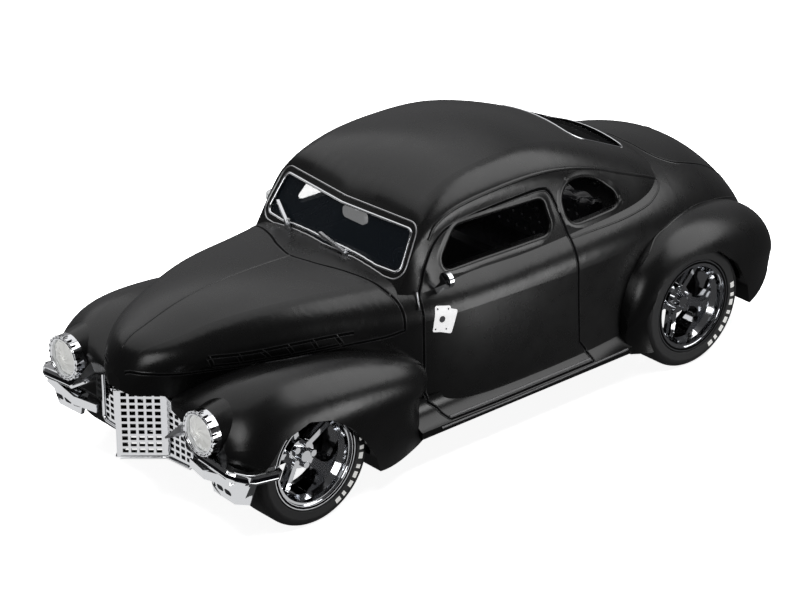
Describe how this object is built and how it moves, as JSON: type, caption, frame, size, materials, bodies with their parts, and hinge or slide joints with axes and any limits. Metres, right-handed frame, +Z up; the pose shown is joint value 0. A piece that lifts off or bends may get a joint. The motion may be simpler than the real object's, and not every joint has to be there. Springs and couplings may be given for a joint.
{
  "type": "model hot rod car",
  "caption": "Scale model of a chopped forties custom coupe with satin body, chrome prow grille and free-rolling spoked wheels.",
  "frame": {"origin": "centre of the bounding box's base, on the surface that the tyres stand on", "axes": "-Y is the front of the car, +X its left side, +Z up"},
  "size_m": [0.0588, 0.1444, 0.0516],
  "materials": {
    "satin_black": "satin",
    "floor_black": "matte",
    "interior_black": "matte",
    "seat_black": "semi-gloss",
    "chrome": "vacuum plated",
    "steel": "bright",
    "clear": "clear",
    "lens": "clear",
    "red_lens": "gloss",
    "tyre": "matte"
  },
  "bodies": {
    "car_body": {"body_shell": "satin_black", "bumper_guard_left": "chrome", "bumper_guard_right": "chrome", "chassis_pan": "floor_black", "dashboard": "interior_black", "door_mirror_left": "chrome", "door_mirror_right": "chrome", "front_apron_left": "chrome", "front_apron_right": "chrome", "front_bumper_left": "chrome", "front_bumper_right": "chrome", "front_grille": "chrome", "front_seat": "seat_black", "headlamp_bezel_left": "chrome", "headlamp_bezel_right": "chrome", "headlamp_lens_left": "lens", "headlamp_lens_right": "lens", "interior_tray": "interior_black", "mirror_inside": "chrome", "quarter_glass_left": "clear", "quarter_glass_right": "clear", "rear_bumper": "chrome", "rear_glass": "clear", "rear_seat": "seat_black", "side_glass_left": "clear", "side_glass_right": "clear", "steering_wheel": "interior_black", "tail_lamp_left": "red_lens", "tail_lamp_right": "red_lens", "windshield_frame": "satin_black", "windshield_glass": "clear", "wiper_left": "chrome", "wiper_right": "chrome"},
    "front_wheels": {"front_axle": "steel", "rim_front_left": "chrome", "rim_front_right": "chrome", "tyre_front_left": "tyre", "tyre_front_right": "tyre"},
    "rear_wheels": {"rear_axle": "steel", "rim_rear_left": "chrome", "rim_rear_right": "chrome", "tyre_rear_left": "tyre", "tyre_rear_right": "tyre"}
  },
  "joints": [
    {"name": "front_axle_roll", "type": "hinge", "parent": "car_body", "child": "front_wheels", "pos_m": [0, -0.05, 0.01215], "axis": [1, 0, 0], "continuous": true},
    {"name": "rear_axle_roll", "type": "hinge", "parent": "car_body", "child": "rear_wheels", "pos_m": [0, 0.041, 0.01215], "axis": [1, 0, 0], "continuous": true}
  ]
}
